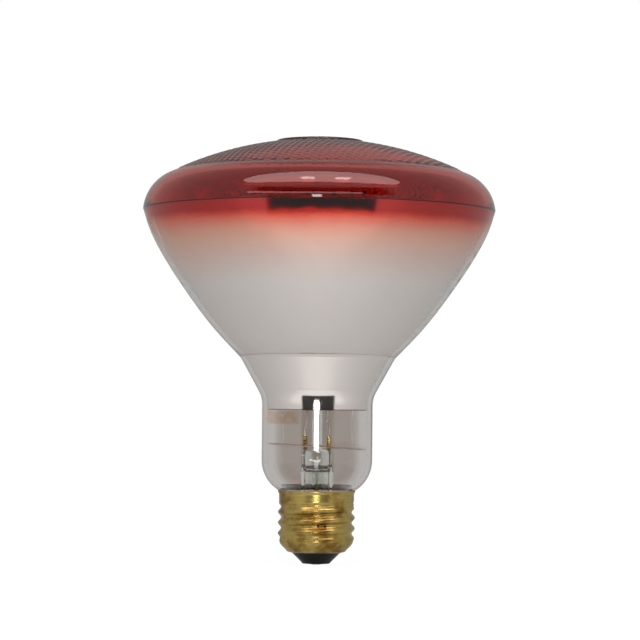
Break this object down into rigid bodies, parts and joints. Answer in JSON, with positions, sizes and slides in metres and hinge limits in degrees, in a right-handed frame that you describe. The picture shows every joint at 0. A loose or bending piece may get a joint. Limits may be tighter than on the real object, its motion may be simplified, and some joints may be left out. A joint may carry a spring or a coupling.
{
  "type": "infrared heat lamp bulb",
  "caption": "Infrared reflector heat lamp: red stippled glass lens, aluminised glass bowl with a clear neck, internal stem and filament mount, and a brass medium screw base.",
  "frame": {"origin": "on the lamp's axis, at the flat tip of the centre contact", "axes": "+Z along the lamp's axis from the contact to the lens; -Y is the front, where the two punch marks are; +X is right"},
  "size_m": [0.1206, 0.1206, 0.146],
  "materials": {
    "red_lens_glass": "pressed glass with a fired-on translucent ruby coat, glossy, moulded stipple on the face",
    "clear_glass": "clear hard glass, glossy, red coat fading out below the seam",
    "mirror_film": "vacuum-deposited aluminium, satin seen through the glass",
    "brass": "thin rolled brass, lacquered, lightly tarnished",
    "black_glass": "black moulded base glass, glossy",
    "solder": "dull grey solder",
    "cement": "baked brown basing cement, matte",
    "stem_glass": "clear lead glass, slightly green, glossy",
    "nickel_wire": "drawn nickel wire",
    "copper_wire": "copper and copper-clad wire",
    "tungsten": "dark drawn tungsten coil",
    "molybdenum_wire": "drawn molybdenum wire",
    "deflector_sheet": "thin sheet, satin, heat-tinted"
  },
  "bodies": {
    "root": {"lens": "red_lens_glass", "reflector": "clear_glass", "aluminium_film": "mirror_film", "screw_shell": "brass", "base_insulator": "black_glass", "centre_contact": "brass", "contact_solder": "solder", "side_solder": "solder", "basing_cement": "cement", "stem_flare": "stem_glass", "exhaust_tube": "stem_glass", "arbor_rod": "stem_glass", "inner_lead_left": "nickel_wire", "inner_lead_right": "nickel_wire", "seal_wires": "copper_wire", "side_lead": "copper_wire", "centre_lead": "copper_wire", "filament": "tungsten", "filament_supports": "molybdenum_wire", "heat_deflector": "deflector_sheet", "deflector_collars": "brass"}
  },
  "joints": []
}
